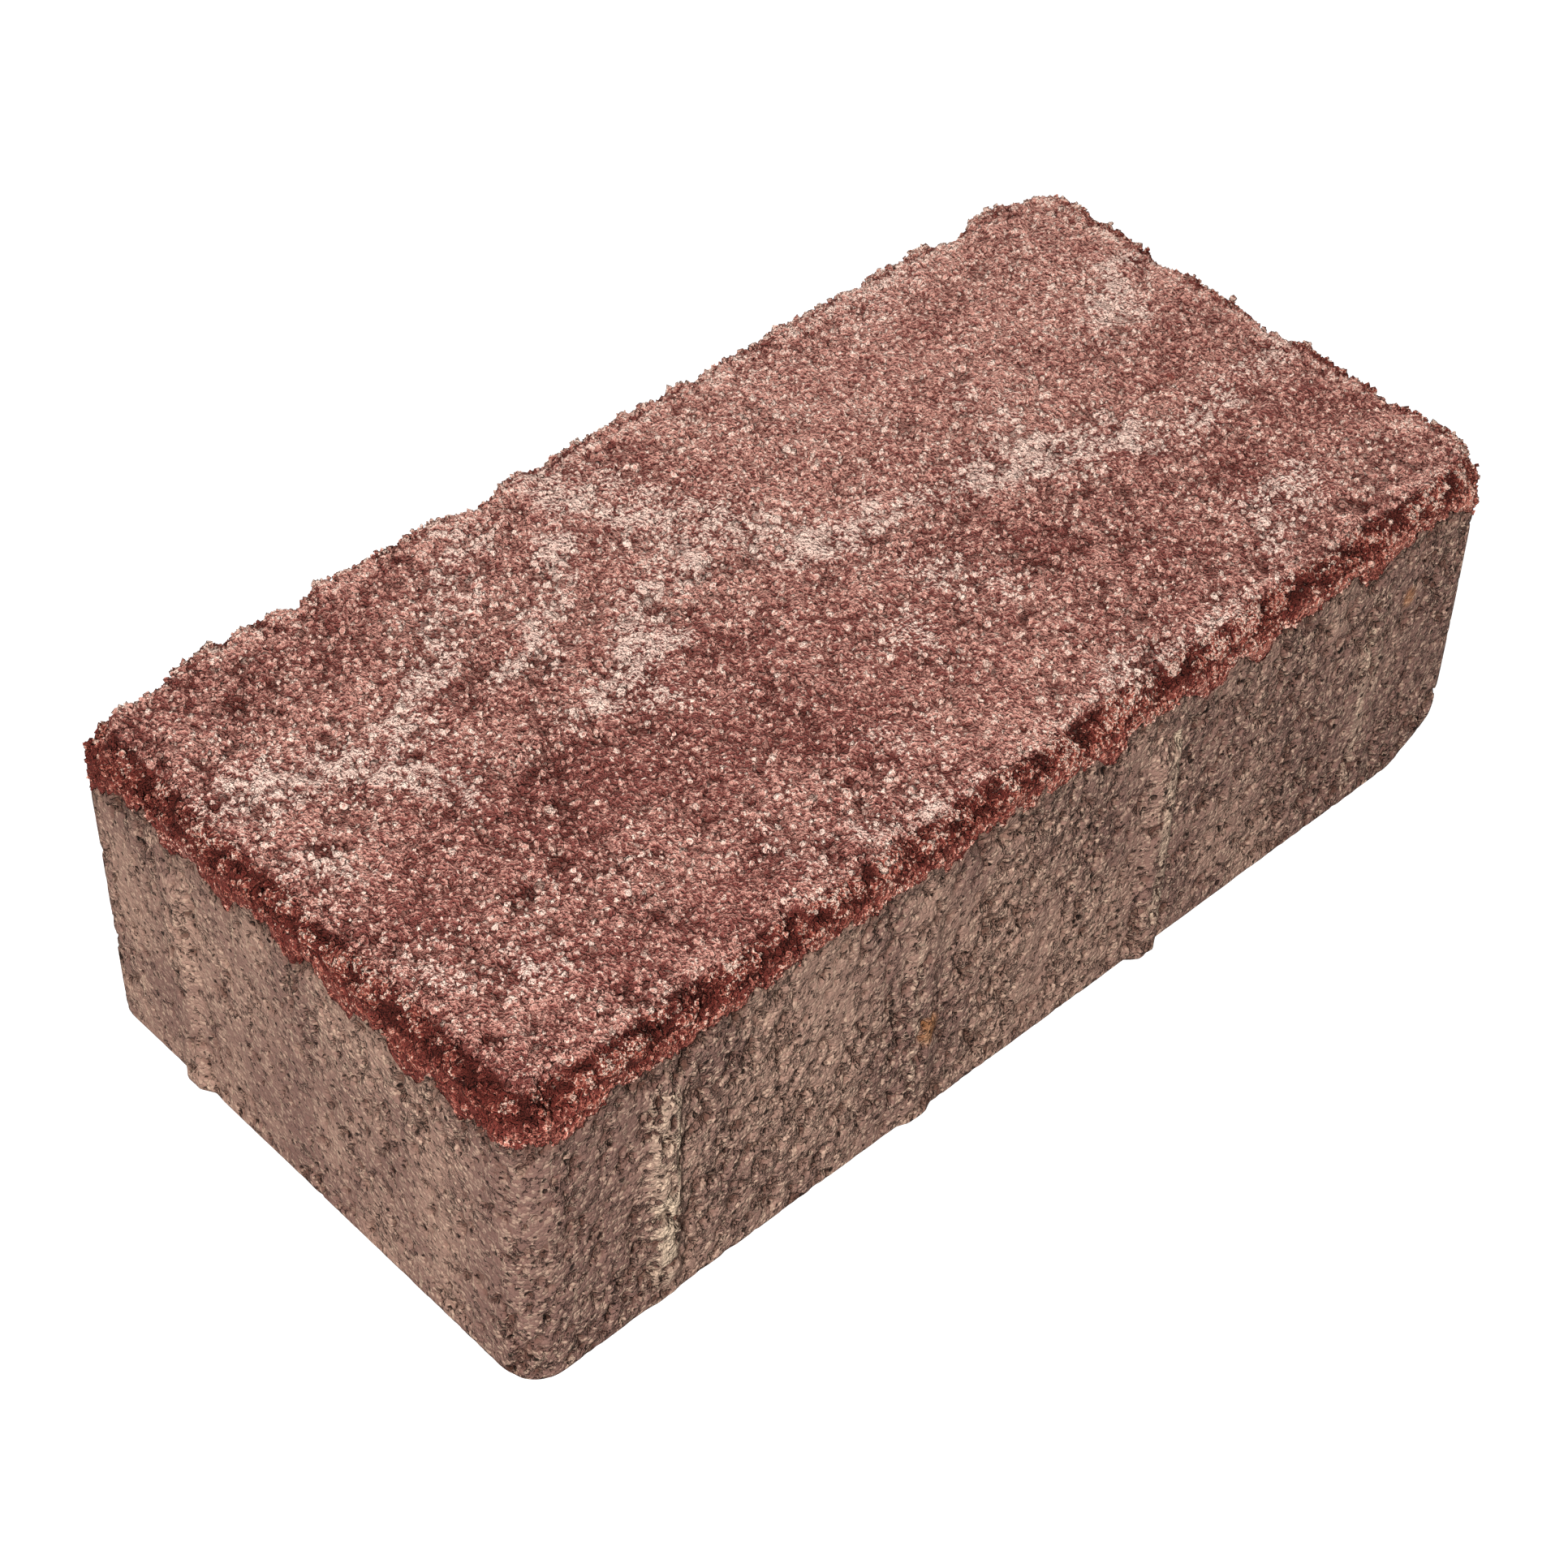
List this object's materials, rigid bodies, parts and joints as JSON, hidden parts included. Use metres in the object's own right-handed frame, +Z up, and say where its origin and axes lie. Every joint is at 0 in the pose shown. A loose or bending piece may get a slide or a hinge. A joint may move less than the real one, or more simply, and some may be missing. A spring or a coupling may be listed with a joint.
{
  "type": "concrete paving stone",
  "caption": "Rectangular two-mix concrete paving stone with a coarse red facing, a tumbled top arris, rounded upright corners and spacer nibs on its walls.",
  "frame": {"origin": "middle of the bed face, on the level that the stone lies on", "axes": "+X along the 200 mm length, +Y across the 100 mm width, +Z up from the bed to the wearing face"},
  "size_m": [0.2024, 0.103, 0.06],
  "materials": {
    "backing_mix": "dry grey-brown concrete, pitted, with smeared skin where the mould drew off",
    "facing_mix": "coarse open-grained concrete, dull dusty red mottled with paler pink and cream grains"
  },
  "bodies": {
    "root": {"paving_stone": "backing_mix"}
  },
  "joints": []
}
